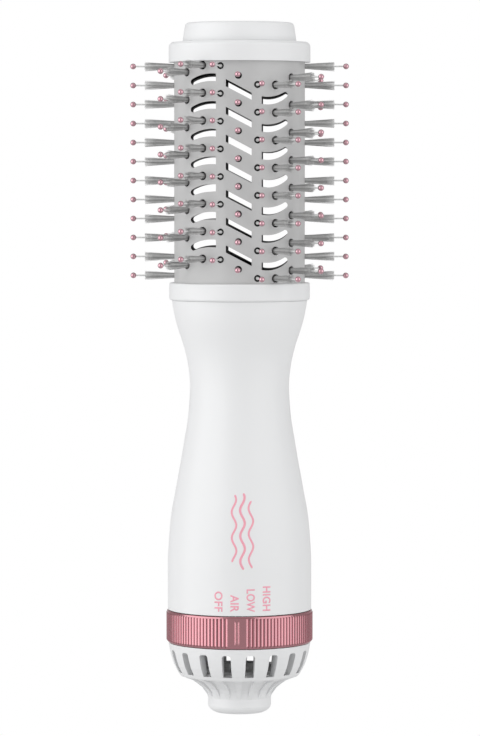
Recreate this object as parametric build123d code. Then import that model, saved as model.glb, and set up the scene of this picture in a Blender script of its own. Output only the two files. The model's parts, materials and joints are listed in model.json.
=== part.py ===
from build123d import *
import math
import os

os.makedirs("parts", exist_ok=True)

# ---------------------------------------------------------------- driving dimensions (mm)
# Frame: origin at the centre of the neck's lower end, +Z along the brush's axis
# towards the cool tip, -Y is the front that carries the speed markings.
# Heights in this script are taken from a datum inside the neck, NECK_DROP above its
# lower end; save() raises every piece by that much, into the frame.
NECK_DROP = 1.5
TOP_Z = 353.5              # top of the cool tip, from the datum
TOTAL_H = TOP_Z + NECK_DROP

NECK_R = 16.3              # outside radius of the cord neck
RIB_COUNT = 18             # ribs, and windows, of the air intake
WINDOW_W = 4.75            # width of one intake window
WINDOW_ROUND = 1.5         # radius of its upper corners
WINDOW_Z0, WINDOW_Z1 = 19.7, 31.4
FLUTE_DEG = 12.5           # angular width of the hollow under each window
CAGE_TOP = 34.6
SPIGOT_RO, SPIGOT_RI = 32.6, 30.6
SPIGOT_TOP = 57.0

RING_Z0, RING_Z1 = 34.9, 51.6
RING_R = 37.8              # over the ribs of the speed ring
RING_ROOT_R = 37.42
RING_RI = 35.9
RING_PITCH_DEG = 3.0
RING_SMOOTH_DEG = 7.5      # plain zone each side of the pointer
POINTER_DEG = -1.0
DIAL_BORE = SPIGOT_RO + 0.07

HANDLE_Z0, HANDLE_Z1 = 51.9, 211.2
WALL = 2.2
HANDLE_PROFILE = [(76.2, 37.05), (84.4, 36.7), (94.7, 35.95), (103.0, 34.95), (111.2, 33.4),
                  (119.4, 31.95), (127.7, 30.4), (135.9, 29.0), (144.1, 27.6), (152.4, 26.4),
                  (160.6, 25.75), (166.5, 25.5), (173.0, 25.85), (181.2, 27.1), (189.5, 29.3),
                  (197.7, 32.0), (205.9, 34.0), (211.2, 34.85)]

COLLAR_Z0, COLLAR_Z1 = 211.3, 220.3
COLLAR_R = 36.2

BARREL_R, BARREL_RI = 33.7, 31.9
BARREL_Z0, BARREL_Z1 = 213.6, 336.0
STRIP_HALF_DEG = 24.0      # side bristle strips, either side of +X and -X
CARRIER_RO, CARRIER_RI = 31.7, 30.4
CARRIER_Z0, CARRIER_Z1 = 220.8, 333.4
CARRIER_HALF_DEG = 58.5

CAP_Z0, CAP_Z1 = 333.4, 343.6
CAP_R = 36.4
TIP_R_TOP, TIP_R_FOOT = 28.2, 29.25

# bristles: base on the barrel's surface, direction in plan from the front, first row height
ROW_PITCH = 14.0
ROWS = 8
#           name  x base  direction  z of top row  kind
COLUMNS = [("a", -26.5, -37.0, 327.8, "tuft"),
           ("b", -18.3, -29.6, 331.1, "tuft"),
           ("c", -9.15, -9.6, 330.7, "pin"),
           ("d", 0.0, 0.0, 325.8, "pin"),
           ("e", 9.7, 6.6, 321.2, "pin"),
           ("f", 18.8, 32.8, 321.1, "tuft"),
           ("g", 26.75, 45.4, 325.0, "tuft")]
SIDE_ROWS = 12
SIDE_Z_TOP, SIDE_PITCH = 331.3, 9.755
PIN_REACH = 21.1           # barrel surface to the centre of the ball tip
PIN_R, BALL_R = 0.4, 1.5
FOOT_R = 0.8               # thick root of a lone pin
PIN_HOLE_R, TUFT_HOLE_R = 1.8, 2.2
TUFT_R0, TUFT_R1, TUFT_LEN = 1.45, 2.55, 15.3
ROOT_DEPTH = 2.95          # how far roots go below the barrel's surface

SLOT_COUNT, SLOT_PITCH = 7, 14.0

# speed ring: OFF, AIR, LOW, HIGH at even steps; AIR is the rest position
DIAL_MIN, DIAL_MAX = -12.8, 25.6
LEVER_R = 18.0             # pitch radius of the switch lever's pin
LEVER_MIN, LEVER_MAX = -4.2, 8.4

BUSH_R, BUSH_CLEAR = 9.0, 0.06
CORD_BORE_R = 3.6

# ---------------------------------------------------------------- helpers


def rz(pts):
    """Closed face in the XZ plane from (radius, height) points."""
    return make_face(Polyline(*[(r, 0, z) for r, z in pts], close=True))


def rev(pts, arc=360.0, start=0.0):
    body = revolve(rz(pts), axis=Axis.Z, revolution_arc=arc)
    return Rot(0, 0, start) * body if start else body


def tube(z0, z1, ro, ri=0.0):
    if ri <= 0:
        return rev([(0, z0), (ro, z0), (ro, z1), (0, z1)])
    return rev([(ri, z0), (ro, z0), (ro, z1), (ri, z1)])


def sector(z0, z1, ro, ri, mid_deg, half_deg):
    """Part of a tube, centred on a polar angle."""
    return rev([(ri, z0), (ro, z0), (ro, z1), (ri, z1)], arc=2 * half_deg, start=mid_deg - half_deg)


def block(x0, x1, y0, y1, z0, z1):
    return Pos((x0 + x1) / 2, (y0 + y1) / 2, (z0 + z1) / 2) * Box(x1 - x0, y1 - y0, z1 - z0)


def rod(p, q, r):
    """Cylinder from p to q."""
    v = Vector(*q) - Vector(*p)
    pl = Plane(origin=Vector(*p), z_dir=v)
    return pl * Cylinder(r, v.length, align=(Align.CENTER, Align.CENTER, Align.MIN))


def solids_of(thing):
    if isinstance(thing, (list, tuple)):
        out = []
        for t in thing:
            out += solids_of(t)
        return out
    return list(thing.solids())


def save(name, thing):
    ss = solids_of(thing)
    assert ss, name
    ss = [Pos(0, 0, NECK_DROP) * x for x in ss]
    shape = ss[0] if len(ss) == 1 else Compound(children=ss)
    export_step(shape, "parts/" + name + ".step")
    print(name, len(ss))


def polar(r, deg, z=0.0):
    a = math.radians(deg)
    return (r * math.cos(a), r * math.sin(a), z)


# ---------------------------------------------------------------- intake cage with the cord neck
# outer form over the ribs
cage_outer = [(0, -NECK_DROP), (12.6, -NECK_DROP), (13.8, -0.95), (15.2, 0.0), (15.94, 1.0), (NECK_R, 2.1),
              (NECK_R, 6.2), (16.66, 7.1), (17.1, 8.0), (17.9, 9.1), (19.4, 11.2), (21.8, 13.2), (24.8, 15.3),
              (28.0, 16.6), (30.2, 17.3), (31.1, 18.2), (31.7, 19.3), (32.4, 20.4), (33.96, 23.5), (35.0, 26.6), (35.84, 29.7),
              (36.4, 32.8), (36.55, 33.8), (36.55, CAGE_TOP), (SPIGOT_RO, CAGE_TOP), (SPIGOT_RO, SPIGOT_TOP), (0, SPIGOT_TOP)]
cage_inner = [(0, 8.2), (12.3, 8.2), (12.3, 10.6), (15.0, 12.0), (17.6, 14.6), (21.8, 17.6), (25.6, 19.3), (28.3, 19.45), (28.4, 20.6),
              (30.3, 29.5), (30.6, 31.5), (30.6, SPIGOT_TOP + 1), (0, SPIGOT_TOP + 1)]
cage = rev(cage_outer) - rev(cage_inner) - tube(-3, 9, BUSH_R + BUSH_CLEAR)
# one gap between ribs: the window above, a hollow flute fading into the neck below
flute_profile = [(40.0, 17.7), (29.6, 17.7), (27.0, 17.2), (24.0, 16.2), (21.0, 14.0), (18.5, 11.6), (17.2, 9.6),
                 (16.7, 8.0), (16.45, 7.0), (NECK_R, 6.2), (24.0, 5.5), (40.0, 15.0)]
win_h = WINDOW_Z1 - WINDOW_Z0
win_face = (Pos(0, -2.0) * RectangleRounded(WINDOW_W, win_h + 4.0, WINDOW_ROUND)) & Rectangle(WINDOW_W + 1, win_h)
gaps = []
for i in range(RIB_COUNT):
    mid = 360.0 / RIB_COUNT * i
    m = math.radians(mid)
    pl = Plane(origin=(26.0 * math.cos(m), 26.0 * math.sin(m), (WINDOW_Z0 + WINDOW_Z1) / 2),
               x_dir=(-math.sin(m), math.cos(m), 0), z_dir=(math.cos(m), math.sin(m), 0))
    w = extrude(pl * win_face, amount=14.0)
    f = rev(flute_profile, arc=FLUTE_DEG, start=mid - FLUTE_DEG / 2)
    gaps += solids_of(w) + solids_of(f)
# 270 degrees falls between two gaps, so a rib stands at the middle of the front
cage = cage - [g for g in gaps]
# lugs for the three screws that hold the cage to the handle
LUG_R = 28.0
LUG_DEG = (90.0, 205.0, 335.0)
for a in LUG_DEG:
    lug = Pos(*polar(LUG_R, a, 53.0)) * Cylinder(3.0, 4.0, align=(Align.CENTER, Align.CENTER, Align.MIN))
    cage = cage + (lug & tube(52, 58, SPIGOT_RO - 0.2))
    cage = cage - Pos(*polar(LUG_R, a, 50.0)) * Cylinder(1.35, 10, align=(Align.CENTER, Align.CENTER, Align.MIN))
# posts for the retainer's screws
POST_R, POST_DEG = 20.5, (30.0, 150.0, 270.0)
for a in POST_DEG:
    post = Pos(*polar(POST_R, a, 14.5)) * Cylinder(3.2, 4.9, align=(Align.CENTER, Align.CENTER, Align.MIN))
    cage = cage + (post & rev([(0, 8.3)] + [(r - 2.4, z + 0.5) for r, z in cage_outer[9:15]] + [(28, 19.4), (0, 19.4)]))
    cage = cage - Pos(*polar(POST_R, a, 16.0)) * Cylinder(1.1, 10, align=(Align.CENTER, Align.CENTER, Align.MIN))
# open sector that the speed ring's arm sweeps through
cage = cage - sector(40.0, 58.0, 34.0, 29.0, -90 + 6.5, 31.0)
save("vent_cage", cage)

# ---------------------------------------------------------------- speed ring
ring_profile = [(RING_RI, RING_Z0), (36.5, RING_Z0), (36.95, RING_Z0 + 0.4), (37.25, RING_Z0 + 1.0), (RING_ROOT_R, RING_Z0 + 1.8),
                (RING_ROOT_R, RING_Z1 - 1.1), (36.95, RING_Z1 - 0.25), (36.6, RING_Z1), (RING_RI, RING_Z1)]
ring = rev(ring_profile)
pts = []
n = int(round(360 / RING_PITCH_DEG))
for i in range(n):
    a0 = i * RING_PITCH_DEG
    d = (a0 + RING_PITCH_DEG / 2 - (270 + POINTER_DEG) + 180) % 360 - 180
    if abs(d) < RING_SMOOTH_DEG:
        pts.append((a0, RING_ROOT_R + 0.2))
        continue
    pts.append((a0 + 0.10, RING_ROOT_R - 0.12))
    pts.append((a0 + 0.55, RING_ROOT_R - 0.12))
    pts.append((a0 + 0.95, RING_R - 0.06))
    pts.append((a0 + 1.75, RING_R))
    pts.append((a0 + 2.55, RING_R - 0.06))
rib_poly = [polar(r, a)[:2] for a, r in pts]
band = extrude(make_face(Polyline(*rib_poly, close=True)), RING_Z1 - RING_Z0 - 2.9)
band = Pos(0, 0, RING_Z0 + 1.7) * band
band = band - tube(RING_Z0, RING_Z1, RING_RI + 0.6)
ring = ring + band
# raised pointer bar
pa = -90 + POINTER_DEG
pointer = Rot(0, 0, pa) * block(37.0, 38.0, -0.95, 0.95, RING_Z0 + 1.6, RING_Z0 + 14.0)
groove = Rot(0, 0, pa) * block(37.78, 38.6, -0.5, 0.5, RING_Z0 + 2.1, RING_Z0 + 13.5)
ring = ring + pointer - groove
save("dial_ring", ring)

carrier = tube(RING_Z0 + 0.3, RING_Z1 - 0.3, RING_RI, DIAL_BORE)
# four detent notches at the rear of the upper rim
for k in range(4):
    a = 90 - (DIAL_MIN + 12.8 * k)
    carrier = carrier - Rot(0, 0, a) * block(32.0, 34.75, -1.0, 1.0, RING_Z1 - 0.9, RING_Z1 + 1)
arm = block(-4.4, 4.4, -33.8, -14.0, 42.0, 45.0)
arm = arm - tube(41, 46, 60, 33.6)
prongs = block(2.1, 4.4, -23.0, -14.0, 44.5, 54.0) + block(-4.4, -2.1, -23.0, -14.0, 44.5, 54.0)
carrier = carrier + arm + prongs
save("dial_carrier", carrier)

# leaf spring of the detent, drawn at the notches' crest height
NOSE_Z = RING_Z1 - 0.2
leaf_pts = [(-8.5, 56.9), (-8.5, 57.2), (-5.4, 57.2), (-1.0, NOSE_Z + 0.75), (1.0, NOSE_Z + 0.75), (5.4, 57.2), (8.5, 57.2), (8.5, 56.9),
            (5.6, 56.8), (1.2, NOSE_Z), (-1.2, NOSE_Z), (-5.6, 56.8)]
leaf = extrude(make_face(Polyline(*[(x, 0, z) for x, z in leaf_pts], close=True)), 12, dir=(0, 1, 0))
leaf = (Pos(0, 25, 0) * leaf) & tube(50, 60, 34.55, 33.0)
save("detent_spring", leaf)

# ---------------------------------------------------------------- handle shells


def handle_solid(offset, z0, z1):
    """Solid of revolution of the grip, offset inwards."""
    prof = [(r - offset, 0, z) for z, r in HANDLE_PROFILE]
    top_r = prof[-1][0]
    e = [Spline(*prof, tangents=[(0, 0, 1), (0.75, 0, 4.2)]),
         Line((top_r, 0, HANDLE_Z1), (top_r, 0, z1)) if z1 > HANDLE_Z1 + 0.01 else None,
         Line((top_r, 0, z1), (0, 0, z1)), Line((0, 0, z1), (0, 0, z0)),
         Line((0, 0, z0), (prof[0][0], 0, z0)), Line((prof[0][0], 0, z0), prof[0])]
    return revolve(make_face([x for x in e if x is not None]), axis=Axis.Z)


outer_h = handle_solid(0.0, HANDLE_Z0, HANDLE_Z1)
inner_h = handle_solid(WALL, HANDLE_Z0 - 1, HANDLE_Z1 + 1)
TOP_BORE = 31.4
keep = tube(198.0, HANDLE_Z1 + 2, 40, TOP_BORE) + rev([(28.9, 195.5), (40, 195.5), (40, 198.1), (TOP_BORE, 198.1), (31.3, 198.0)])
inner_h = inner_h - keep
shell = outer_h - inner_h
# groove that grips the collar's lip
LIP_Z0, LIP_Z1, LIP_R = 206.0, 208.0, 32.2
shell = shell - tube(LIP_Z0 - 0.1, LIP_Z1 + 0.1, LIP_R + 0.1, 20)
# internal ribs: bulkhead for the cage, duct ribs, mica tube rib
inside = handle_solid(WALL - 0.5, HANDLE_Z0, HANDLE_Z1)
bulk = tube(57.2, 59.4, 40, 25.2) & inside
bulk = bulk - block(-23, 24, -40, -9.0, 57, 60)
ribs = (tube(86.0, 88.0, 40, 31.1) & inside) + (tube(128.0, 130.0, 40, 25.7) & inside) + (tube(189.5, 191.5, 40, 21.25) & inside)
ribs = ribs - block(-5, 5, 20, 40, 80, 135)
shell = shell + bulk + ribs
for a in LUG_DEG:
    b = Pos(*polar(LUG_R, a, 57.2)) * Cylinder(3.0, 9.0, align=(Align.CENTER, Align.CENTER, Align.MIN))
    shell = shell + (b & inside)
for a in LUG_DEG:
    shell = shell - Pos(*polar(LUG_R, a, 57.0)) * Cylinder(1.25, 8.0, align=(Align.CENTER, Align.CENTER, Align.MIN))
# clamp bosses along Y with their screws
BOSSES = [(29.4, 71.0), (-29.4, 71.0), (25.9, 195.0), (-25.9, 195.0)]
screws = []
for x, z in BOSSES:
    boss = (rod((x, -34, z), (x, 34, z), 3.6) & inside)
    shell = shell + boss
for x, z in BOSSES:
    shell = shell - rod((x, -9.0, z), (x, 9, z), 1.25)
    shell = shell - rod((x, 7.0, z), (x, 45, z), 2.6)
    screws.append(rod((x, -7.5, z), (x, 7.0, z), 1.25) + rod((x, 7.0, z), (x, 8.9, z), 2.4)
                  - block(x - 1.6, x + 1.6, 8.3, 9.5, z - 0.3, z + 0.3) - block(x - 0.3, x + 0.3, 8.3, 9.5, z - 1.6, z + 1.6))
front = shell & block(-60, 60, -60, 0, 40, 220)
rear = shell & block(-60, 60, 0, 60, 40, 220)
save("handle_front", front)
save("handle_rear", rear)
save("handle_screws", screws)

cage_screws = []
for a in LUG_DEG:
    x, y, _ = polar(LUG_R, a)
    s = rod((x, y, 53.0), (x, y, 63.5), 1.25) + rod((x, y, 51.2), (x, y, 53.0), 2.4)
    s = s - block(x - 1.5, x + 1.5, y - 0.3, y + 0.3, 50.5, 51.8)
    cage_screws.append(s)
save("cage_screws", cage_screws)

# ---------------------------------------------------------------- swivel in the neck
bush = tube(0.4 - NECK_DROP, 8.3, BUSH_R) + tube(8.3, 10.4, 12.0) + tube(10.4, 18.8, 6.0)
bush = bush - tube(-3.0, 13.0, CORD_BORE_R) - tube(12.5, 20, 2.2)
save("cord_bush", bush)
save("slip_rings", [tube(11.4, 13.0, 6.9, 6.0), tube(14.6, 16.2, 6.9, 6.0)])
retainer = rev([(9.5, 10.6), (12.0, 10.6), (12.0, 19.5), (28.0, 19.5), (28.0, 20.5), (0, 20.5), (0, 19.5), (9.5, 19.5)])
for x in (-1.3, 1.3):
    retainer = retainer - rod((x, 3, 19), (x, 3, 22), 0.9)
for a in POST_DEG:
    retainer = retainer - Pos(*polar(POST_R, a, 19.0)) * Cylinder(1.3, 3, align=(Align.CENTER, Align.CENTER, Align.MIN))
# raised rim round the screw circle and the wire outlet
retainer = retainer + tube(20.5, 21.6, 25.0, 24.0) + tube(20.5, 22.4, 5.2, 4.5)
retainer = retainer - block(-12.6, -9.0, -1.5, 1.5, 14.6, 16.1) - block(9.0, 12.6, -1.5, 1.5, 11.5, 13.0)
save("swivel_retainer", retainer)
rs = []
for a in POST_DEG:
    x, y, _ = polar(POST_R, a)
    rs.append(rod((x, y, 16.4), (x, y, 20.5), 1.1) + rod((x, y, 20.5), (x, y, 21.9), 2.2)
              - block(x - 1.4, x + 1.4, y - 0.25, y + 0.25, 21.4, 22.5))
save("retainer_screws", rs)
save("brush_contacts", [block(6.98, 12.0, -1.4, 1.4, 11.6, 12.9), block(-12.0, -6.98, -1.4, 1.4, 14.7, 16.0)])

# ---------------------------------------------------------------- switch
board = block(-22, 22, -31.5, -9.2, 59.6, 61.2) & tube(59, 62, 34.3)
save("switch_board", board)
body = block(-8.7, 12.9, -22.5, -13.5, 54.9, 59.6)
body = body - block(-7.3, 11.5, -21.6, -14.4, 55.9, 58.8) - block(-6.2, 10.4, -20.0, -16.0, 54.0, 56.0)
save("switch_body", body)
lever = block(-2.5, 2.5, -21.3, -14.7, 56.1, 58.5) + rod((0, -LEVER_R, 46.6), (0, -LEVER_R, 56.2), 1.5)
save("switch_lever", lever)

# ---------------------------------------------------------------- fan and motor
guard = tube(75.4, 76.6, 30.9, 29.2)
bars = None
for i in range(-6, 7):
    h = math.sqrt(max(29.8 ** 2 - (i * 4.6) ** 2, 1))
    b1 = block(i * 4.6 - 0.5, i * 4.6 + 0.5, -h, h, 75.5, 76.5)
    b2 = block(-h, h, i * 4.6 - 0.5, i * 4.6 + 0.5, 75.5, 76.5)
    guard = guard + b1 + b2
save("fan_guard", guard)

duct_out = [(31.0, 76.7), (31.0, 99.0), (28.0, 118.0), (25.0, 130.0), (23.1, 134.0), (22.9, 140.0)]
duct_in = [(21.3, 140.0), (21.3, 133.4), (21.6, 133.0), (23.5, 129.4), (26.5, 117.6), (29.6, 98.8), (29.6, 76.7)]
duct = rev(duct_out + duct_in)
MOTOR_R = 14.0
sleeve = tube(101.0, 131.0, 16.5, 15.2)
fins = []
for i in range(6):
    fin = Rot(0, 0, 30 + 60 * i) * block(15.9, 31.0, -0.7, 0.7, 101.5, 126.0)
    fins.append(fin & rev([(15.0, 100.0), (30.3, 98.8), (27.2, 117.6), (24.2, 129.4), (15.0, 129.4)]))
duct = duct + sleeve
for f in fins:
    duct = duct + f
save("fan_duct", duct)
save("motor_mount", tube(101.5, 130.5, 15.2, MOTOR_R))

can = tube(100.6, 131.0, MOTOR_R, 12.8) + tube(100.6, 101.8, 13.5, 3.0) + tube(98.8, 101.0, 5.0, 3.0)
save("motor_can", can)
endcap = tube(131.0, 133.4, MOTOR_R, 3.0) + (tube(133.2, 136.4, 5.0, 0) - tube(130, 135.4, 3.0))
save("motor_endcap", endcap)
save("motor_bushes", [tube(98.9, 101.7, 3.0, 1.55), tube(131.2, 134.0, 3.0, 1.55)])
save("motor_magnets", [sector(105, 126, 12.75, 10.7, 0, 68), sector(105, 126, 12.75, 10.7, 180, 68)])
save("motor_shaft", tube(84.2, 134.8, 1.5))
core = tube(108.0, 123.0, 10.2, 1.5)
core = core - [Rot(0, 0, 120 * i) * block(6.5, 11, -0.9, 0.9, 107, 124) for i in range(3)]
core = core + tube(106.2, 124.6, 7.6, 1.5)
save("rotor_core", core)
save("commutator", tube(125.4, 130.2, 3.4, 1.5))
save("motor_brushes", [block(3.5, 10.0, -1.2, 1.2, 126.6, 129.2) + block(8.4, 10.0, -1.2, 1.2, 129.0, 131.0),
                       block(-10.0, -3.5, -1.2, 1.2, 126.6, 129.2) + block(-10.0, -8.4, -1.2, 1.2, 129.0, 131.0)])

IMP_Z0, IMP_Z1, IMP_R, BLADES = 83.0, 97.0, 28.8, 7
hub = rev([(1.5, 84.0), (4.0, 84.0), (7.2, 85.4), (9.0, 88.0), (9.0, IMP_Z1), (1.5, IMP_Z1)])
hub = hub - tube(94.5, 98, 7.6, 3.2)
imp = hub
for i in range(BLADES):
    blade = Rot(0, 0, 360 / BLADES * i) * (Pos(18.0, 0, 90.0) * (Rot(38, 0, 0) * Box(22.0, 1.3, 16.5)))
    imp = imp + (blade & tube(IMP_Z0, IMP_Z1, IMP_R, 8.2))
save("impeller", imp)

# ---------------------------------------------------------------- heater
HT_Z0, HT_Z1, HT_R = 141.5, 203.0, 19.6
ba = block(-HT_R, HT_R, -0.4, 0.4, HT_Z0, HT_Z1) - block(-0.42, 0.42, -1, 1, (HT_Z0 + HT_Z1) / 2, HT_Z1 + 1)
bb = block(-0.4, 0.4, -HT_R, HT_R, HT_Z0, HT_Z1) - block(-1, 1, -0.42, 0.42, HT_Z0 - 1, (HT_Z0 + HT_Z1) / 2)
coil_z = [147.5 + 6.6 * i for i in range(7)]
COIL_R, COIL_W = 17.2, 1.05
for z in coil_z:
    for s in (-1, 1):
        ba = ba - block(min(s * 15.9, s * 21), max(s * 15.9, s * 21), -1, 1, z - 1.3, z + 1.3)
        bb = bb - block(-1, 1, min(s * 15.9, s * 21), max(s * 15.9, s * 21), z - 1.3, z + 1.3)
save("heater_boards", [ba, bb])
turns = [Pos(0, 0, z) * Torus(COIL_R, COIL_W) for z in coil_z]
links = []
for i in range(len(coil_z) - 1):
    x, y, _ = polar(COIL_R, 40 if i % 2 == 0 else 220)
    links.append(rod((x, y, coil_z[i] - 0.2), (x, y, coil_z[i + 1] + 0.2), 0.8))
coil = turns[0].fuse(*turns[1:], *links)
save("heater_coil", coil)
mica = tube(133.5, 204.5, 21.1, 20.5)
mica = mica - [rod((x, 15, 144.0), (x, 30, 144.0), 1.05) for x in (-2.6, 0, 2.6)]
save("mica_tube", mica)
save("thermostat", block(3.0, 13.0, 0.4, 3.4, 194.4, 201.0) + rod((8.0, 3.4, 197.7), (8.0, 4.6, 197.7), 2.6))
save("thermal_fuse", rod((-9.0, 2.2, 194.0), (-9.0, 2.2, 202.0), 1.8))

# ---------------------------------------------------------------- internal wiring
WIRE_R = 0.8


def wire(points, radii):
    path = FilletPolyline(*points, radius=radii)
    pl = Plane(origin=path @ 0, z_dir=path % 0)
    return sweep(pl * Circle(WIRE_R), path=path)


mains = []
for x in (-1.3, 1.3):
    mains.append(wire([(x, 3, 18.9), (x, 3, 47.0), (x, -10.9, 54.5), (x, -10.9, 59.6)], 3.5))
save("mains_wires", mains)
leads = []
for x in (-2.6, 0, 2.6):
    leads.append(wire([(x, -9.9, 61.2), (x, -9.9, 68.0), (x, 32.2, 70.5), (x, 32.2, 99.0), (x, 28.3, 121.0), (x, 24.95, 135.5),
                       (x, 24.9, 144.0), (x, 20.7, 144.0)], [3.0, 2.2, 20.0, 20.0, 6.0, 2.2]))
save("heater_leads", leads)

# ---------------------------------------------------------------- collar
collar = rev([(31.85, 213.4), (33.76, 213.4), (33.76, 220.3), (35.6, COLLAR_Z1), (36.05, COLLAR_Z1 - 0.25), (COLLAR_R, COLLAR_Z1 - 0.8),
              (COLLAR_R, COLLAR_Z0 + 1.1), (36.05, COLLAR_Z0 + 0.65), (35.7, COLLAR_Z0 + 0.25), (35.1, COLLAR_Z0), (TOP_BORE - 0.1, COLLAR_Z0),
              (TOP_BORE - 0.1, LIP_Z1), (LIP_R, LIP_Z1), (LIP_R, LIP_Z0), (TOP_BORE - 0.1, LIP_Z0), (TOP_BORE - 0.1, 203.4), (29.2, 203.4),
              (29.2, 211.3), (22.5, 212.0), (22.5, 213.8), (28.4, 213.8), (28.4, 222.4), (30.3, 222.4), (30.3, 213.4)])
spider = block(-23.5, 23.5, -2.2, 2.2, 211.6, 213.8) + block(-2.2, 2.2, -23.5, 23.5, 211.6, 213.8)
ROD_X = 9.0
for s in (-1, 1):
    spider = spider + Pos(s * ROD_X, 0, 208.2) * Cylinder(2.8, 5.6, align=(Align.CENTER, Align.CENTER, Align.MIN))
for s in (-1, 1):
    spider = spider - Pos(s * ROD_X, 0, 209.4) * Cylinder(1.25, 8, align=(Align.CENTER, Align.CENTER, Align.MIN))
collar = collar + spider
save("barrel_collar", collar)

# ---------------------------------------------------------------- barrel shells, strips and bristle carriers


def half_annulus(ro, ri, z0, z1, half):
    return sector(z0, z1, ro, ri, -90, half)


def slot_faces(grow=0.0):
    """The three slot outlines of one row, in X and Z, row 0."""
    g = grow
    out = []
    top = ThreePointArc((-23.7, 324.1 + g), (-18.2, 326.35 + g), (-11.4 + g, 326.75 + g))
    bot = ThreePointArc((-11.4 + g, 322.95 - g), (-18.2, 322.65 - g), (-23.0, 321.15 - g))
    out.append([top, Line(top @ 1, bot @ 0), bot, ThreePointArc(bot @ 1, (-24.25 - g, 322.2), top @ 0)])
    out.append([Line((-6.35 - g, 323.95 + g), (6.7 + g, 317.0 + g)), Line((6.7 + g, 317.0 + g), (6.7 + g, 313.5 - g)),
                Line((6.7 + g, 313.5 - g), (-6.35 - g, 320.3 - g)), Line((-6.35 - g, 320.3 - g), (-6.35 - g, 323.95 + g))])
    top = ThreePointArc((11.75 - g, 315.3 + g), (17.6, 315.35 + g), (23.4, 317.75 + g))
    bot = ThreePointArc((24.1 + g * 0.5, 314.9 - g), (19.0, 311.9 - g), (11.75 - g, 311.5 - g))
    out.append([top, ThreePointArc(top @ 1, (24.75 + g, 316.7), bot @ 0), bot, Line(bot @ 1, top @ 0)])
    return out


def slot_cutters(grow, y0, y1):
    cuts = []
    for edges in slot_faces(grow):
        e3 = [Plane.XZ * x for x in edges]
        f = make_face(e3)
        b = extrude(f, amount=abs(y1 - y0), dir=(0, 1, 0))
        for k in range(SLOT_COUNT):
            cuts.append(Pos(0, y0, -SLOT_PITCH * k) * b)
    return cuts


def bristle_sites(side):
    """(point on the surface, direction, kind) for every bristle of the front (side=-1) or rear (side=1)."""
    out = []
    for name, xb, al, ztop, kind in COLUMNS:
        yb = side * math.sqrt(BARREL_R ** 2 - xb ** 2)
        a = math.radians(al)
        d = (math.sin(a), side * math.cos(a), 0.0)
        for k in range(ROWS):
            out.append(((xb, yb, ztop - ROW_PITCH * k), d, kind))
    return out


def along(p, d, t):
    return (p[0] + d[0] * t, p[1] + d[1] * t, p[2] + d[2] * t)


def place(shape, p, d):
    """Move a bristle built along +Z from the surface point to its site."""
    return Plane(origin=p, z_dir=d, x_dir=(0, 0, 1)).location * shape


pin_lone = rev([(0, -ROOT_DEPTH), (FOOT_R, -ROOT_DEPTH), (FOOT_R, 0.25), (PIN_R + 0.1, 0.9), (PIN_R, 2.0),
                (PIN_R, PIN_REACH - 0.6), (0, PIN_REACH - 0.6)])
pin_core = rev([(0, -ROOT_DEPTH), (PIN_R, -ROOT_DEPTH), (PIN_R, PIN_REACH - 0.6), (0, PIN_REACH - 0.6)])
ball = Pos(0, 0, PIN_REACH) * Sphere(BALL_R)
ball = ball - tube(PIN_REACH - 3, PIN_REACH - 0.6, PIN_R)
ball = ball.solids()[0]
tuft = rev([(PIN_R, -ROOT_DEPTH), (TUFT_R0, -ROOT_DEPTH), (TUFT_R0, 0.5), (TUFT_R1, TUFT_LEN), (PIN_R, TUFT_LEN)])


def build_face(side, tag):
    half = 90 - STRIP_HALF_DEG - 0.45
    mid = 90 * side
    shell_ = sector(BARREL_Z0, BARREL_Z1, BARREL_R, BARREL_RI, mid, half)
    carr = sector(CARRIER_Z0, CARRIER_Z1, CARRIER_RO, CARRIER_RI, mid, CARRIER_HALF_DEG)
    y0, y1 = (-45.0, -5.0) if side < 0 else (5.0, 45.0)
    sites = bristle_sites(side)
    cut_s = slot_cutters(0.0, y0, y1)
    cut_c = slot_cutters(0.75, y0, y1)
    for p, d, kind in sites:
        hr = PIN_HOLE_R if kind == "pin" else TUFT_HOLE_R
        sr = FOOT_R if kind == "pin" else TUFT_R0
        cut_s.append(rod(along(p, d, -4.0), along(p, d, 4.0), hr))
        cut_c.append(rod(along(p, d, -4.6), along(p, d, 1.5), sr))
    shell_ = shell_ - cut_s
    carr = carr - cut_c
    save("barrel_" + tag, shell_)
    save("carrier_" + tag, carr)
    pins, tips, tufts = [], [], []
    for p, d, kind in sites:
        pins.append(place(pin_lone if kind == "pin" else pin_core, p, d))
        tips.append(place(ball, p, d))
        if kind == "tuft":
            tufts.append(place(tuft, p, d))
    save("pins_" + tag, pins)
    save("tips_" + tag, tips)
    save("tufts_" + tag, tufts)


build_face(-1, "front")
build_face(1, "rear")

for s, tag in ((1, "right"), (-1, "left")):
    mid = 0 if s > 0 else 180
    strip = sector(BARREL_Z0, BARREL_Z1, BARREL_R - 0.12, BARREL_RI - 0.08, mid, STRIP_HALF_DEG)
    strip = strip + sector(CARRIER_Z0 + 2, CARRIER_Z1 - 0.4, BARREL_RI - 0.08, CARRIER_RI + 0.1, mid, STRIP_HALF_DEG + 4.0)
    sites = [((s * (BARREL_R - 0.12), 0, SIDE_Z_TOP - SIDE_PITCH * k), (s, 0, 0)) for k in range(SIDE_ROWS)]
    strip = strip - [rod(along(p, d, -5.0), along(p, d, 2.0), TUFT_R0) for p, d in sites]
    save("side_strip_" + tag, strip)
    save("pins_" + tag, [place(pin_core, p, d) for p, d in sites])
    save("tips_" + tag, [place(ball, p, d) for p, d in sites])
    save("tufts_" + tag, [place(tuft, p, d) for p, d in sites])

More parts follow.
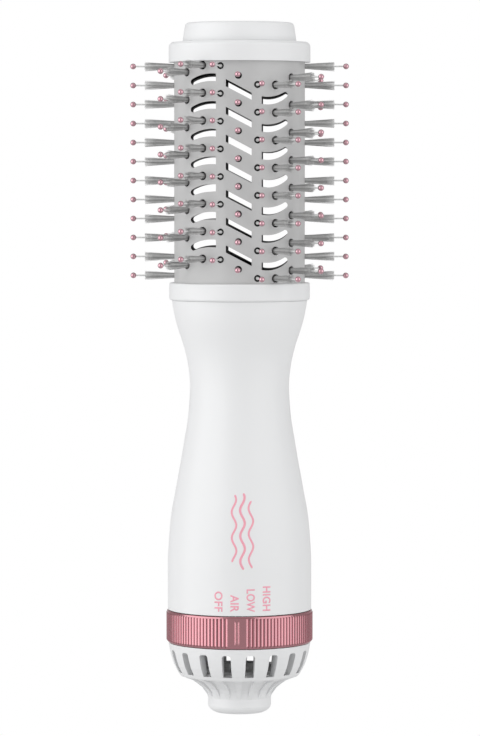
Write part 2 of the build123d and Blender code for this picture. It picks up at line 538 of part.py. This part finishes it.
# ---------------------------------------------------------------- end cap and cool tip
cap = rev([(33.8, CAP_Z0), (CAP_R, CAP_Z0), (CAP_R - 0.05, 341.4), (36.15, 342.4), (35.6, 342.95), (34.9, CAP_Z1), (29.6, CAP_Z1),
           (29.6, 341.3), (0, 341.3), (0, 338.8), (28.2, 338.8), (28.2, 328.8), (30.25, 328.8), (30.25, 338.2), (31.8, 338.2),
           (31.8, 336.3), (33.8, 336.3)])
for s in (-1, 1):
    cap = cap - Pos(s * ROD_X, 0, 338) * Cylinder(1.3, 5, align=(Align.CENTER, Align.CENTER, Align.MIN))
save("end_cap", cap)
tip = rev([(TIP_R_FOOT, 341.3), (TIP_R_FOOT, 344.2), (TIP_R_TOP, 351.1), (28.0, 352.2), (27.6, 353.05), (26.8, TOP_Z), (0, TOP_Z),
           (0, 351.8), (25.6, 351.8), (26.6, 350.8), (27.2, 343.6), (27.2, 341.3)])
save("cool_tip", tip)
rods = []
for s in (-1, 1):
    x = s * ROD_X
    r = rod((x, 0, 209.6), (x, 0, 341.3), 1.25) + rod((x, 0, 341.3), (x, 0, 343.2), 2.4)
    r = r - block(x - 1.5, x + 1.5, -0.3, 0.3, 342.6, 344)
    rods.append(r)
save("tie_rods", rods)
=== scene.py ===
import json
import math
import random

import bmesh
import bpy
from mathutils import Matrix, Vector
from mathutils.bvhtree import BVHTree


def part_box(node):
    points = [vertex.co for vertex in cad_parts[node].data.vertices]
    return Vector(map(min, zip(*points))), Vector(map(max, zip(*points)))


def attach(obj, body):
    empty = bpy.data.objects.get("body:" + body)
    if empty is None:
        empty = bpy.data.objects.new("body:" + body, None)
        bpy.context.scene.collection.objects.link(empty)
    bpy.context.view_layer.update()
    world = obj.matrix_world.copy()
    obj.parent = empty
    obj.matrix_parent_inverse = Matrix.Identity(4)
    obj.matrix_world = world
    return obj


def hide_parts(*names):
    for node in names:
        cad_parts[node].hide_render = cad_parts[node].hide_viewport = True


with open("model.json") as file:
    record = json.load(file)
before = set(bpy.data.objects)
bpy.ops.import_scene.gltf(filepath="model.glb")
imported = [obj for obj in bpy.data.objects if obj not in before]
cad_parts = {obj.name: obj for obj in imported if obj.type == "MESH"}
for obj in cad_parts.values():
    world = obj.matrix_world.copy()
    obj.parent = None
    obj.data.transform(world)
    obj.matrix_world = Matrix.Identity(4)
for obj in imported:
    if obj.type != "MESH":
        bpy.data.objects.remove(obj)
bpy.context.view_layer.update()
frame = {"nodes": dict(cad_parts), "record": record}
NODES = frame["nodes"]
scene = bpy.context.scene
MM = 0.001
# heights below are counted from a datum in the neck; the barrel's lower end is 213.6 mm above it
Z0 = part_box("barrel_front")[0][2] / MM - 213.6

# ------------------------------------------------------------------ camera, at the photograph's angle
CAM_DIST, CAM_Z, CAM_AZ = 1.945, 0.2715, math.radians(1.0)
cam_data = bpy.data.cameras.new("camera")
cam = bpy.data.objects.new("camera", cam_data)
scene.collection.objects.link(cam)
cam_data.sensor_width = 36.0
cam_data.lens = 36.0 / 2 / (368 / 3777.0)
cam.location = (CAM_DIST * math.sin(CAM_AZ), -CAM_DIST * math.cos(CAM_AZ), CAM_Z)
aim = Vector((0.00024, 0.0, 0.17775))
cam.rotation_mode = "QUATERNION"
cam.rotation_quaternion = (aim - Vector(cam.location)).to_track_quat("-Z", "Y")
cam_data.clip_start, cam_data.clip_end = 0.05, 60.0
scene.camera = cam
scene.view_settings.view_transform = "Standard"
scene.view_settings.look = "None"

# ------------------------------------------------------------------ studio: pale floor, pale surround, softboxes
AMBIENT = 0.46
FLOOR_GLOW = 0.62


def camera_split(tree, seen, unseen):
    """Emission that a camera ray sees at one strength and every other ray at another."""
    lp = tree.nodes.new("ShaderNodeLightPath")
    a = tree.nodes.new("ShaderNodeMapRange")
    a.inputs["To Min"].default_value = unseen
    a.inputs["To Max"].default_value = seen
    tree.links.new(lp.outputs["Is Camera Ray"], a.inputs["Value"])
    return a.outputs["Result"]


world = bpy.data.worlds.new("studio")
scene.world = world
world.use_nodes = True
wt = world.node_tree
bg = wt.nodes["Background"]
bg.inputs["Color"].default_value = (1, 1, 1, 1)
wt.links.new(camera_split(wt, 1.0, AMBIENT), bg.inputs["Strength"])

floor_mesh = bpy.data.meshes.new("floor")
bm = bmesh.new()
bmesh.ops.create_grid(bm, x_segments=8, y_segments=8, size=14.0)
bm.to_mesh(floor_mesh)
bm.free()
floor = bpy.data.objects.new("floor", floor_mesh)
scene.collection.objects.link(floor)
floor.location = (0, 0, -0.45)
fm = bpy.data.materials.new("floor_paper")
fm.use_nodes = True
ft = fm.node_tree
ft.nodes.clear()
out = ft.nodes.new("ShaderNodeOutputMaterial")
em = ft.nodes.new("ShaderNodeEmission")
em.inputs["Color"].default_value = (1, 1, 1, 1)
ft.links.new(camera_split(ft, 1.0, FLOOR_GLOW), em.inputs["Strength"])
tr = ft.nodes.new("ShaderNodeBsdfTransparent")
geo = ft.nodes.new("ShaderNodeNewGeometry")
mix = ft.nodes.new("ShaderNodeMixShader")
ft.links.new(geo.outputs["Backfacing"], mix.inputs[0])
ft.links.new(em.outputs[0], mix.inputs[1])
ft.links.new(tr.outputs[0], mix.inputs[2])
ft.links.new(mix.outputs[0], out.inputs["Surface"])
floor_mesh.materials.append(fm)


def softbox(name, azimuth, elevation, dist, w, h, radiance, target=(0, 0, 0.18)):
    """Rectangular light of even radiance. Azimuth 0 is the camera's side, positive towards +X."""
    d = bpy.data.lights.new(name, "AREA")
    d.shape = "RECTANGLE"
    d.size, d.size_y = w, h
    d.energy = radiance * math.pi * w * h
    o = bpy.data.objects.new(name, d)
    scene.collection.objects.link(o)
    a, e = math.radians(azimuth), math.radians(elevation)
    t = Vector(target)
    o.location = t + dist * Vector((math.sin(a) * math.cos(e), -math.cos(a) * math.cos(e), math.sin(e)))
    o.rotation_mode = "QUATERNION"
    o.rotation_quaternion = (t - o.location).to_track_quat("-Z", "Y")
    o.visible_camera = False
    return o


softbox("key_left", -63, 12, 1.35, 1.9, 1.8, 1.48)
softbox("fill_right", 60, 10, 1.35, 1.7, 1.8, 1.12)
softbox("top", 0, 84, 1.5, 1.3, 1.3, 0.55)
rear = softbox("back", 180, 12, 1.6, 0.9, 1.8, 1.2)
rear.visible_glossy = False

# ------------------------------------------------------------------ materials


def new_mat(name):
    m = bpy.data.materials.new(name)
    m.use_nodes = True
    t = m.node_tree
    p = t.nodes["Principled BSDF"]
    return m, t, p


def coords(t):
    tc = t.nodes.new("ShaderNodeTexCoord")
    return tc.outputs["Object"]


def noise(t, vec, scale, detail=3.0, rough=0.55, stretch=None):
    n = t.nodes.new("ShaderNodeTexNoise")
    n.inputs["Scale"].default_value = scale
    n.inputs["Detail"].default_value = detail
    n.inputs["Roughness"].default_value = rough
    if stretch:
        mp = t.nodes.new("ShaderNodeMapping")
        mp.inputs["Scale"].default_value = stretch
        t.links.new(vec, mp.inputs["Vector"])
        vec = mp.outputs["Vector"]
    t.links.new(vec, n.inputs["Vector"])
    return n.outputs["Fac"]


def ramp(t, fac, c0, c1, p0=0.3, p1=0.7):
    r = t.nodes.new("ShaderNodeValToRGB")
    r.color_ramp.elements[0].position = p0
    r.color_ramp.elements[1].position = p1
    r.color_ramp.elements[0].color = (*c0, 1)
    r.color_ramp.elements[1].color = (*c1, 1)
    t.links.new(fac, r.inputs["Fac"])
    return r.outputs["Color"]


def spread(t, fac, lo, hi):
    r = t.nodes.new("ShaderNodeMapRange")
    r.inputs["From Min"].default_value = 0.3
    r.inputs["From Max"].default_value = 0.7
    r.inputs["To Min"].default_value = lo
    r.inputs["To Max"].default_value = hi
    t.links.new(fac, r.inputs["Value"])
    return r.outputs["Result"]


def bump(t, fac, strength, dist):
    b = t.nodes.new("ShaderNodeBump")
    b.inputs["Strength"].default_value = strength
    b.inputs["Distance"].default_value = dist
    t.links.new(fac, b.inputs["Height"])
    return b.outputs["Normal"]


def surface(name, color, rough, vary=0.03, rough_vary=0.05, grain=2500.0, grain_h=0.00001, grain_s=0.25,
            cloud=60.0, metallic=0.0, coat=0.0, coat_rough=0.1, ior=1.47, stretch=None, sub=0.0, sub_r=(1, 1, 1), spec=0.5):
    m, t, p = new_mat(name)
    v = coords(t)
    c0 = tuple(max(0.0, c * (1 - vary)) for c in color)
    c1 = tuple(min(1.0, c * (1 + vary)) for c in color)
    t.links.new(ramp(t, noise(t, v, cloud, 4.0), c0, c1), p.inputs["Base Color"])
    t.links.new(spread(t, noise(t, v, cloud * 3.1, 5.0), max(0.02, rough - rough_vary), min(1.0, rough + rough_vary)), p.inputs["Roughness"])
    t.links.new(bump(t, noise(t, v, grain, 4.0, 0.6, stretch), grain_s, grain_h), p.inputs["Normal"])
    p.inputs["Metallic"].default_value = metallic
    p.inputs["Coat Weight"].default_value = coat
    p.inputs["Coat Roughness"].default_value = coat_rough
    p.inputs["IOR"].default_value = ior
    p.inputs["Specular IOR Level"].default_value = spec
    if sub:
        p.inputs["Subsurface Weight"].default_value = sub
        p.inputs["Subsurface Radius"].default_value = sub_r
        p.inputs["Subsurface Scale"].default_value = 0.0012
    return m


M = {}
# satin white ABS with a very fine spark-eroded grain
M["handle_plastic"] = surface("white_abs", (0.795, 0.80, 0.807), 0.40, vary=0.008, rough_vary=0.04, grain=2600, grain_h=0.000006, grain_s=0.35, cloud=25, coat=0.12, coat_rough=0.22)
M["barrel_coat"] = surface("ceramic_grey", (0.515, 0.515, 0.515), 0.36, vary=0.025, rough_vary=0.05, grain=1900, grain_h=0.000012, grain_s=0.35, cloud=70, coat=0.25, coat_rough=0.25)
M["strip_plastic"] = surface("strip_grey", (0.50, 0.50, 0.50), 0.42, vary=0.025, grain=2100, grain_h=0.00001, cloud=80)
M["carrier_black"] = surface("black_pa", (0.012, 0.012, 0.013), 0.55, vary=0.2, grain=1800, cloud=200)
M["retainer_dark"] = surface("grey_pa", (0.70, 0.70, 0.705), 0.5, vary=0.15, grain=1500, cloud=200)
M["pin_nylon"] = surface("pin_nylon", (0.70, 0.705, 0.70), 0.34, vary=0.10, grain=4000, cloud=900)
M["tip_pink"] = surface("tip_pink", (0.50, 0.20, 0.26), 0.12, vary=0.06, rough_vary=0.04, grain=5000, grain_h=0.000003, cloud=700, metallic=0.9, coat=1.0, coat_rough=0.05)
M["tip_pink"].node_tree.nodes["Principled BSDF"].inputs["Coat IOR"].default_value = 2.6
M["tuft_nylon"] = surface("tuft_nylon", (0.70, 0.70, 0.697), 0.36, vary=0.10, grain=6000, cloud=1500)
# every filament has its own tone, from smoky to nearly clear
tuft_tree = M["tuft_nylon"].node_tree
shade = tuft_tree.nodes.new("ShaderNodeAttribute")
shade.attribute_name = "shade"
shade_mix = tuft_tree.nodes.new("ShaderNodeMix")
shade_mix.data_type = "RGBA"
shade_mix.blend_type = "MULTIPLY"
shade_mix.inputs[0].default_value = 1.0
tuft_bsdf = tuft_tree.nodes["Principled BSDF"]
mix_a, mix_b = [q for q in shade_mix.inputs if q.type == "RGBA"]
tuft_tree.links.new(tuft_bsdf.inputs["Base Color"].links[0].from_socket, mix_a)
tuft_tree.links.new(shade.outputs["Fac"], mix_b)
tuft_tree.links.new([q for q in shade_mix.outputs if q.type == "RGBA"][0], tuft_bsdf.inputs["Base Color"])
M["screw_steel"] = surface("zinc_steel", (0.55, 0.55, 0.56), 0.3, metallic=1.0, vary=0.05, grain=3000, cloud=300)
M["spring_steel"] = surface("bright_steel", (0.62, 0.62, 0.62), 0.22, metallic=1.0, vary=0.04, grain=3000, cloud=300)
M["board_green"] = surface("fr4", (0.04, 0.16, 0.06), 0.4, vary=0.15, grain=1500, cloud=500)
M["duct_grey"] = surface("duct_pa", (0.06, 0.06, 0.065), 0.5, vary=0.12)
M["rubber_black"] = surface("rubber", (0.02, 0.02, 0.02), 0.75, vary=0.2)
M["motor_steel"] = surface("can_steel", (0.5, 0.5, 0.5), 0.32, metallic=1.0, vary=0.05)
M["bronze"] = surface("bronze", (0.62, 0.42, 0.18), 0.3, metallic=1.0, vary=0.08)
M["magnet_dark"] = surface("ferrite", (0.04, 0.04, 0.042), 0.6, vary=0.2)
M["winding_copper"] = surface("windings", (0.45, 0.17, 0.06), 0.35, metallic=0.8, vary=0.15, cloud=600)
M["carbon"] = surface("carbon", (0.02, 0.02, 0.02), 0.7, vary=0.2)
M["impeller_grey"] = surface("impeller_pa", (0.045, 0.045, 0.05), 0.42, vary=0.12)
M["mica"] = surface("mica", (0.55, 0.48, 0.34), 0.35, vary=0.12, cloud=250, coat=0.3)
M["nichrome"] = surface("nichrome", (0.36, 0.33, 0.30), 0.4, metallic=1.0, vary=0.12, cloud=500)
M["thermostat_metal"] = surface("thermostat_metal", (0.62, 0.62, 0.62), 0.35, metallic=1.0, vary=0.06)
M["wire_white"] = surface("wire_sleeve", (0.72, 0.72, 0.68), 0.5, vary=0.05)
M["bush_white"] = surface("bush_pom", (0.74, 0.74, 0.745), 0.4, vary=0.03, cloud=150)
M["ring_rose"] = surface("rose_plating", (0.455, 0.160, 0.190), 0.19, vary=0.03, rough_vary=0.04, grain=2600, grain_h=0.000003, grain_s=0.25,
                         cloud=90, metallic=1.0, coat=0.7, coat_rough=0.08)
ring_tree = M["ring_rose"].node_tree
ring_bsdf = ring_tree.nodes["Principled BSDF"]
ring_bsdf.inputs["Coat IOR"].default_value = 1.95
ring_bsdf.inputs["Specular Tint"].default_value = (0.72, 0.30, 0.36, 1)
# painted shade: the plating is darkened and its coat thinned in the grooves between the ribs, standing in for the
# shade that falls there; the factor is 1 on the ribs and plain parts, 0 in a groove
painted_groove_shade_fac = ring_tree.nodes.new("ShaderNodeAttribute")
painted_groove_shade_fac.attribute_name = "painted_groove_shade_fac"
ring_groove_shade_mix = ring_tree.nodes.new("ShaderNodeMix")
ring_groove_shade_mix.data_type = "RGBA"
plating = ring_bsdf.inputs["Base Color"].links[0].from_socket
# the dark rose set into input A is painted groove shade, input B carries the plating's own colour
for sock in ring_groove_shade_mix.inputs:
    if sock.type == "RGBA" and sock.name == "A":
        sock.default_value = (0.20, 0.042, 0.058, 1)
    if sock.type == "RGBA" and sock.name == "B":
        ring_tree.links.new(plating, sock)
ring_tree.links.new(painted_groove_shade_fac.outputs["Fac"], ring_groove_shade_mix.inputs[0])
ring_tree.links.new([q for q in ring_groove_shade_mix.outputs if q.type == "RGBA"][0], ring_bsdf.inputs["Base Color"])
# thinner coat in the grooves: painted shade on the ring's highlights
groove_shade_coat_weight = ring_tree.nodes.new("ShaderNodeMapRange")
groove_shade_coat_weight.inputs["To Min"].default_value = 0.15
groove_shade_coat_weight.inputs["To Max"].default_value = 1.0
ring_tree.links.new(painted_groove_shade_fac.outputs["Fac"], groove_shade_coat_weight.inputs["Value"])
ring_tree.links.new(groove_shade_coat_weight.outputs["Result"], ring_bsdf.inputs["Coat Weight"])
M["print_pink"] = surface("print_pink", (0.85, 0.37, 0.455), 0.45, vary=0.03, grain=4000, cloud=500)

slot_of = {s["node"]: s["material_slot"] for s in frame["record"]["subparts"]}
for name, o in NODES.items():
    m = M[slot_of[name]]
    o.data.materials.clear()
    o.data.materials.append(m)
    for poly in o.data.polygons:
        poly.material_index = 0

# ------------------------------------------------------------------ bristles
BARREL_R = 33.7
ROW_PITCH, ROWS = 14.0, 8
COLUMNS = [("a", -26.5, -37.0, 327.8, "tuft"), ("b", -18.3, -29.6, 331.1, "tuft"), ("c", -9.15, -9.6, 330.7, "pin"),
           ("d", 0.0, 0.0, 325.8, "pin"), ("e", 9.7, 6.6, 321.2, "pin"), ("f", 18.8, 32.8, 321.1, "tuft"), ("g", 26.75, 45.4, 325.0, "tuft")]
SIDE_ROWS, SIDE_Z_TOP, SIDE_PITCH = 12, 331.3, 9.755
TUFT_R0, TUFT_R1, TUFT_LEN = 1.40, 2.50, 15.3


def tuft_sites():
    out = {"tufts_front": [], "tufts_rear": [], "tufts_left": [], "tufts_right": []}
    for side, tag in ((-1, "tufts_front"), (1, "tufts_rear")):
        for n, xb, al, zt, kind in COLUMNS:
            if kind != "tuft":
                continue
            yb = side * math.sqrt(BARREL_R ** 2 - xb ** 2)
            a = math.radians(al)
            for k in range(ROWS):
                out[tag].append((Vector((xb, yb, Z0 + zt - ROW_PITCH * k)), Vector((math.sin(a), side * math.cos(a), 0))))
    for s, tag in ((-1, "tufts_left"), (1, "tufts_right")):
        for k in range(SIDE_ROWS):
            out[tag].append((Vector((s * (BARREL_R - 0.12), 0, Z0 + SIDE_Z_TOP - SIDE_PITCH * k)), Vector((s, 0, 0))))
    return out


def add_filament(verts, faces, pts, r, sides):
    """A thin closed tube through pts with a rounded-off end."""
    base = len(verts)
    axis = (pts[-1] - pts[0]).normalized()
    u = axis.orthogonal().normalized()
    w = axis.cross(u)
    n = len(pts)
    for i, p in enumerate(pts):
        rr = r * (0.62 if i == n - 1 else 1.0)
        for k in range(sides):
            a = 2 * math.pi * k / sides
            verts.append((p + rr * (math.cos(a) * u + math.sin(a) * w)) * MM)
    for i in range(n - 1):
        for k in range(sides):
            a, b = base + i * sides + k, base + i * sides + (k + 1) % sides
            faces.append((a, b, b + sides, a + sides))
    faces.append(tuple(base + k for k in reversed(range(sides))))
    faces.append(tuple(base + (n - 1) * sides + k for k in range(sides)))


FILAMENTS, FIL_R, FIL_SIDES = 96, 0.105, 4
rng = random.Random(20431)
for node, sites in tuft_sites().items():
    verts, faces, shades = [], [], []
    for p, d in sites:
        up = Vector((0, 0, 1))
        side = d.cross(up).normalized()
        lean_u, lean_w = rng.uniform(-0.25, 0.25), rng.uniform(-0.25, 0.25)
        twist = rng.uniform(0, 2 * math.pi)
        for i in range(FILAMENTS):
            f = math.sqrt((i + 0.5) / FILAMENTS)
            a = i * 2.399963 + twist
            r0 = (0.42 + f * (TUFT_R0 - 0.50)) if f * TUFT_R0 < 0.95 else f * TUFT_R0 - 0.06
            cu, cw = math.cos(a), math.sin(a)
            j1, j2 = rng.gauss(0, 0.05), rng.gauss(0, 0.05)
            length = TUFT_LEN - abs(rng.gauss(0, 0.28)) - 0.05
            flare = (TUFT_R1 / TUFT_R0 - 1.0) * (1.0 + rng.gauss(0, 0.10))
            bow = rng.gauss(0, 0.10)
            pts = []
            for t, s in ((-1.6, 0.0), (0.6, 0.0), (5.2, 0.30), (10.2, 0.62), (length, 1.0)):
                rad = r0 * (1.0 + flare * s)
                rad = min(rad, TUFT_R1 - 0.1) if t > 10 else rad
                bu = cu * rad + (j1 + lean_u * 0.6) * s + bow * s * (1 - s)
                bw = cw * rad + (j2 + lean_w * 0.6) * s
                h = math.hypot(bu, bw)
                lim = (TUFT_R1 - 0.02) if s == 1.0 else 9.0
                if h > lim:
                    bu, bw = bu * lim / h, bw * lim / h
                pts.append(p + d * t + side * bu + up * bw)
            add_filament(verts, faces, pts, FIL_R, FIL_SIDES)
            streak = 0.5 + 0.5 * math.sin(5.0 * a)
            shades += [0.64 + 0.42 * streak + rng.uniform(-0.16, 0.16)] * (len(pts) * FIL_SIDES)
    me = bpy.data.meshes.new(node + "_filaments")
    me.from_pydata(verts, [], faces)
    me.update()
    for poly in me.polygons:
        poly.use_smooth = True
    me.attributes.new("shade", "FLOAT", "POINT").data.foreach_set("value", shades)
    me.materials.append(M["tuft_nylon"])
    ob = bpy.data.objects.new(node + "_filaments", me)
    scene.collection.objects.link(ob)
    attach(ob, "handle")
    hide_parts(node)

# ------------------------------------------------------------------ speed ring: rounded ribs, rolled rims, pointer bar
RING_LO, RING_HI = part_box("dial_ring")[0][2] / MM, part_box("dial_ring")[1][2] / MM
RING_RI, RING_ROOT, RIB_H = 35.9, 37.48, 0.31
RIB_DEG, PLAIN_DEG, POINTER_DEG = 3.0, 7.5, -1.0
POINTER_LO, POINTER_HI = 2.1, 14.4


def smooth(e0, e1, x):
    t = min(1.0, max(0.0, (x - e0) / (e1 - e0)))
    return t * t * (3 - 2 * t)


def rim(h):
    """Outer radius of the plain ring, h above its lower edge."""
    H = RING_HI - RING_LO
    r = RING_ROOT + 0.02
    if h < 1.5:
        r -= 1.0 - math.sqrt(max(0.0, 1 - ((1.5 - h) / 1.5) ** 2))
    if h > H - 0.75:
        r -= 0.8 * (1.0 - math.sqrt(max(0.0, 1 - ((h - H + 0.75) / 0.75) ** 2)))
    return r


def rib_height(deg):
    """Height of the ribbing at an angle counted from the pointer."""
    d = (deg + 180) % 360 - 180
    if abs(d) < PLAIN_DEG:
        return 0.0
    t = (d / RIB_DEG) % 1.0
    u = min(1.0, max(0.0, (t - 0.09) / 0.82))
    crest = 0.5 * math.sin(math.pi * u)
    wall = smooth(0.0, 0.10, t) * smooth(0.0, 0.10, 1.0 - t)
    return RIB_H * (0.45 * wall + 0.55 * 2 * crest * wall)


def bar_height(across, h):
    """Raised pointer bar that runs out at both ends, with a shallow channel."""
    half = 1.18
    ends = smooth(POINTER_LO, POINTER_LO + 1.6, h) * (1 - smooth(POINTER_HI - 1.6, POINTER_HI, h))
    up = 0.34 * (1 - smooth(half - 0.34, half, abs(across)))
    dip = 0.27 * (1 - smooth(0.45, 0.78, abs(across)))
    return (up - dip) * ends


def build_ring():
    H = RING_HI - RING_LO
    angles = []
    k = int(round((360 - 2 * PLAIN_DEG) / RIB_DEG))
    for i in range(k):
        a = PLAIN_DEG + i * RIB_DEG
        angles += [a + RIB_DEG * f for f in (0.0, 0.03, 0.06, 0.10, 0.16, 0.24, 0.34, 0.45, 0.55, 0.66, 0.76, 0.84, 0.90, 0.94, 0.97)]
    n_plain = 110
    angles += [360 - PLAIN_DEG + 2 * PLAIN_DEG * i / n_plain for i in range(n_plain)]
    hs = [0.0, 0.06, 0.15, 0.3, 0.5, 0.75, 1.05, 1.4]
    n_mid = 18
    hs += [1.7 + (H - 1.7 - 1.35) * i / n_mid for i in range(n_mid + 1)]
    hs += [H - 1.2, H - 1.0, H - 0.8, H - 0.6, H - 0.42, H - 0.25, H - 0.12, H - 0.04, H]
    verts, faces = [], []
    rows = []
    for h in hs:
        fade = smooth(0.45, 1.3, h) * (1 - smooth(H - 1.3, H - 1.0, h))
        rows.append([(rim(h) + rib_height(a) * fade + bar_height(math.radians((a + 180) % 360 - 180) * RING_ROOT, h), a, h) for a in angles])
    rows.append([(RING_RI, a, H) for a in angles])
    rows.append([(RING_RI, a, 0.0) for a in angles])
    n = len(angles)
    for row in rows:
        for r, a, h in row:
            t = math.radians(a + POINTER_DEG - 90)
            verts.append(Vector((r * math.cos(t), r * math.sin(t), RING_LO + h)) * MM)
    m = len(rows)
    for j in range(m):
        b = (j + 1) % m
        for i in range(n):
            c = (i + 1) % n
            faces.append((j * n + i, j * n + c, b * n + c, b * n + i))
    me = bpy.data.meshes.new("speed_ring")
    me.from_pydata(verts, [], faces)
    me.update()
    for poly in me.polygons:
        poly.use_smooth = poly.index < (m - 3) * n
    # per-vertex factor for the painted groove shade: 0 deep in a groove, 1 on the ribs, rims and plain parts
    groove_shade_attr = me.attributes.new("painted_groove_shade_fac", "FLOAT", "POINT")
    values = []
    for h in hs:
        fade = smooth(0.45, 1.3, h) * (1 - smooth(H - 1.3, H - 1.0, h))
        for a in angles:
            d = (a + 180) % 360 - 180
            groove_shade = 0.0 if abs(d) < PLAIN_DEG else 1.0 - smooth(0.30, 0.80, rib_height(a) / RIB_H)
            values.append(1.0 - groove_shade * fade)
    values += [1.0] * (2 * n)
    groove_shade_attr.data.foreach_set("value", values)
    me.materials.append(M["ring_rose"])
    ob = bpy.data.objects.new("speed_ring", me)
    scene.collection.objects.link(ob)
    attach(ob, "dial")
    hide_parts("dial_ring")


build_ring()

# ------------------------------------------------------------------ printed marks on the handle
HANDLE_PROFILE = [(52.5, 37.05), (76.2, 37.05), (84.4, 36.7), (94.7, 35.95), (103.0, 34.95), (111.2, 33.4), (119.4, 31.95), (127.7, 30.4)]


grip_shells = []
for shell in ("handle_front", "handle_rear"):
    o = NODES[shell]
    grip_shells.append(BVHTree.FromPolygons([o.matrix_world @ v.co for v in o.data.vertices], [tuple(q.vertices) for q in o.data.polygons]))


def surface_r(z, phi):
    """Radius of the handle's own surface at a height (mm, in the datum's count) and an angle from the front."""
    way = Vector((math.sin(phi), -math.cos(phi), 0))
    start = way * 0.06 + Vector((0, 0, (Z0 + z) * MM))
    hits = [h for h in (tree.ray_cast(start, -way)[3] for tree in grip_shells) if h is not None]
    return (0.06 - min(hits)) / MM if hits else handle_r(z)


def handle_r(z):
    pts = HANDLE_PROFILE
    for (z0, r0), (z1, r1) in zip(pts, pts[1:]):
        if z <= z1:
            return r0 + (r1 - r0) * (z - z0) / (z1 - z0)
    return pts[-1][1]


def wrap(me, name, to_surface, lift=0.03, thick=0.05):
    """Puts a flat print, x along its reading direction and y up its letters, on the handle as a thin closed film."""
    bm = bmesh.new()
    bm.from_mesh(me)
    bmesh.ops.remove_doubles(bm, verts=bm.verts, dist=1e-5)
    bmesh.ops.triangulate(bm, faces=bm.faces)
    for _ in range(4):
        long = [e for e in bm.edges if e.calc_length() > 0.9]
        if not long:
            break
        bmesh.ops.subdivide_edges(bm, edges=long, cuts=1)
        bmesh.ops.triangulate(bm, faces=bm.faces)
    for f in bm.faces:
        if f.normal.z < 0:
            f.normal_flip()
    flat = [(v, v.co.copy()) for v in bm.verts]
    geom = bmesh.ops.extrude_face_region(bm, geom=bm.faces[:])
    top = [v for v in geom["geom"] if isinstance(v, bmesh.types.BMVert)]
    tops = {v: v.co.copy() for v in top}
    for v, co in flat:
        v.co = to_surface(co.x, co.y, lift - thick)
    for v, co in tops.items():
        v.co = to_surface(co.x, co.y, lift)
    bmesh.ops.recalc_face_normals(bm, faces=bm.faces)
    m2 = bpy.data.meshes.new(name)
    bm.to_mesh(m2)
    bm.free()
    m2.materials.append(M["print_pink"])
    ob = bpy.data.objects.new(name, m2)
    scene.collection.objects.link(ob)
    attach(ob, "handle")
    return ob


def text_mesh(body, cap, length):
    """Flat text, in mm, cap height and overall length set exactly."""
    cu = bpy.data.curves.new("t_" + body, "FONT")
    cu.body = body
    cu.size = 1.0
    cu.offset = 0.022
    cu.resolution_u = 6
    cu.space_character = 1.05
    o = bpy.data.objects.new("t_" + body, cu)
    scene.collection.objects.link(o)
    bpy.context.view_layer.update()
    me = bpy.data.meshes.new_from_object(o.evaluated_get(bpy.context.evaluated_depsgraph_get()))
    bpy.data.objects.remove(o)
    xs = [v.co.x for v in me.vertices]
    ys = [v.co.y for v in me.vertices]
    sx, sy = length / (max(xs) - min(xs)), cap / (max(ys) - min(ys))
    x0, y0 = min(xs), min(ys)
    for v in me.vertices:
        v.co = ((v.co.x - x0) * sx, (v.co.y - y0) * sy, 0)
    return me


def on_handle(z_top, phi_mid, half):
    """Reading direction runs down the handle, the letters' tops point to the right."""
    def f(x, y, lift):
        z = z_top - x
        phi = math.radians(phi_mid) + (y - half) / handle_r(z)
        r = surface_r(z, phi) + lift
        return Vector((r * math.sin(phi), -r * math.cos(phi), Z0 + z)) * MM
    return f


CAP = 4.35
for body, phi, z_top, z_bot in (("OFF", -15.8, 64.4, 54.1), ("AIR", -2.9, 62.8, 54.0), ("LOW", 9.8, 65.6, 54.0), ("HIGH", 22.8, 66.9, 54.4)):
    me = text_mesh(body, CAP, z_top - z_bot)
    wrap(me, "print_" + body.lower(), on_handle(z_top, phi, CAP / 2))

# generic airflow motif: three wavy strokes along the grip
Z_TOP, Z_BOT = 114.2, 75.5
for k, (off, w, a0, a1) in enumerate(((-4.3, 0.95, 0.02, 0.90), (0.0, 1.15, 0.0, 1.0), (4.3, 0.95, 0.10, 0.98))):
    n = 120
    L = Z_TOP - Z_BOT
    bm = bmesh.new()
    rows = []
    for i in range(n + 1):
        s = a0 + (a1 - a0) * i / n
        x = L * s
        y = off + 1.15 * math.sin(2 * math.pi * s * 3.0 + 0.5 * k)
        slope = 1.15 * 2 * math.pi * 3.0 / L * math.cos(2 * math.pi * s * 3.0 + 0.5 * k)
        nx, ny = -slope / math.hypot(1, slope), 1 / math.hypot(1, slope)
        e = min(i, n - i) / n
        ww = w / 2 * min(1.0, math.sqrt(max(0.0, 1 - (1 - e * 40) ** 2)) if e * 40 < 1 else 1.0) + 0.02
        rows.append((bm.verts.new((x - nx * ww, y - ny * ww, 0)), bm.verts.new((x + nx * ww, y + ny * ww, 0))))
    for (a, b), (c, d) in zip(rows, rows[1:]):
        bm.faces.new((a, c, d, b))
    me = bpy.data.meshes.new("wave")
    bm.to_mesh(me)
    bm.free()
    wrap(me, "print_wave_%d" % (k + 1), on_handle(Z_TOP, 3.4, 0.0), lift=0.05, thick=0.10)
